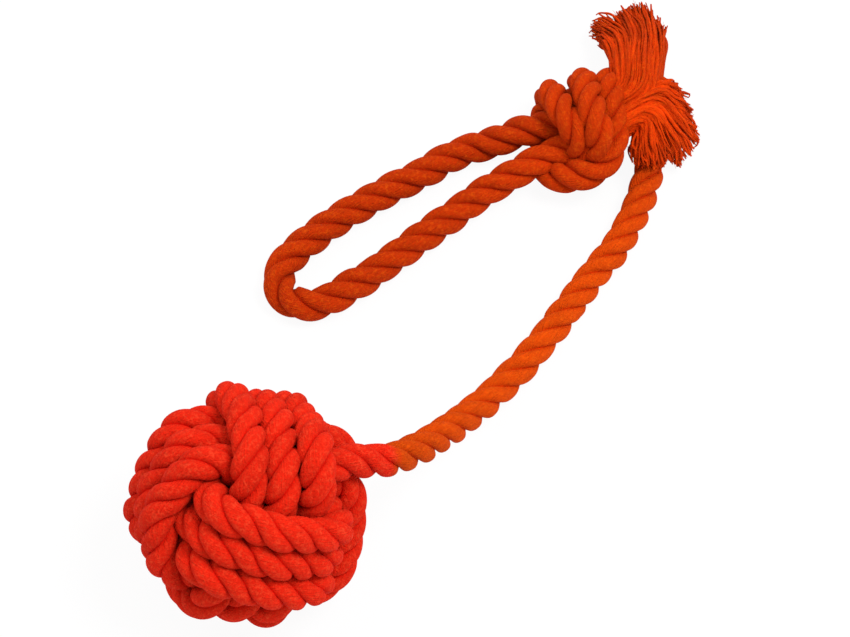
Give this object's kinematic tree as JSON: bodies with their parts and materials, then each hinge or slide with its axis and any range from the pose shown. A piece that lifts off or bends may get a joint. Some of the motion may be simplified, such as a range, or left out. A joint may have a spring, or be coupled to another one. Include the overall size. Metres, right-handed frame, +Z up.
{
  "type": "rope dog toy",
  "caption": "Cotton rope dog toy: monkey's fist ball, rope tail and a wrapped handle knot with a rope loop and two frayed ends.",
  "frame": {"origin": "centre of the bounding box on the floor the toy lies on", "axes": "+Z up from the floor; +Y from the ball to the frayed ends, away from the viewer in the picture; +X to the right of the picture"},
  "size_m": [0.1852, 0.2286, 0.0717],
  "materials": {
    "red_orange_rope": "twisted cotton rope, dyed red-orange",
    "burnt_orange_rope": "twisted cotton rope, dyed burnt orange",
    "core": "wound cord, hidden"
  },
  "bodies": {
    "ball": {"fist_core": "core", "fist_first_turn_1": "red_orange_rope", "fist_first_turn_2": "red_orange_rope", "fist_first_turn_3": "red_orange_rope", "fist_second_turn_1": "red_orange_rope", "fist_second_turn_2": "red_orange_rope", "fist_second_turn_3": "red_orange_rope", "fist_third_turn_1": "red_orange_rope", "fist_third_turn_2": "red_orange_rope", "fist_third_turn_3": "red_orange_rope", "fist_exit": "red_orange_rope"},
    "tail": {"tail_drop": "burnt_orange_rope", "tail_floor": "burnt_orange_rope"},
    "knot": {"knot_entry": "burnt_orange_rope", "knot_wrap_1": "burnt_orange_rope", "knot_wrap_2": "burnt_orange_rope", "knot_wrap_3": "burnt_orange_rope", "knot_leg_upper": "burnt_orange_rope", "knot_leg_lower": "burnt_orange_rope"},
    "loop": {"loop_upper_leg": "burnt_orange_rope", "loop_fold": "burnt_orange_rope", "loop_lower_leg": "burnt_orange_rope"},
    "upper_tuft": {"tuft_upper": "burnt_orange_rope"},
    "lower_tuft": {"tuft_lower": "burnt_orange_rope"}
  },
  "joints": [
    {"name": "ball_to_tail", "type": "hinge", "parent": "ball", "child": "tail", "pos_m": [-0.0138, -0.06838, 0.044], "axis": [0, 0, 1], "range_deg": [-45, 20]},
    {"name": "tail_to_knot", "type": "hinge", "parent": "tail", "child": "knot", "pos_m": [0.0593, 0.02372, 0.0048], "axis": [0, 0, 1], "range_deg": [-40, 12]},
    {"name": "loop_lift", "type": "hinge", "parent": "knot", "child": "loop", "pos_m": [0.0303, 0.05542, 0.011], "axis": [-0.1498, 0.9887, 0], "range_deg": [0, 70]},
    {"name": "upper_tuft_lift", "type": "hinge", "parent": "knot", "child": "upper_tuft", "pos_m": [0.0713, 0.06782, 0.015], "axis": [1, 0, 0], "range_deg": [0, 50]},
    {"name": "lower_tuft_lift", "type": "hinge", "parent": "knot", "child": "lower_tuft", "pos_m": [0.0717, 0.05662, 0.015], "axis": [0, -1, 0], "range_deg": [0, 50]}
  ]
}
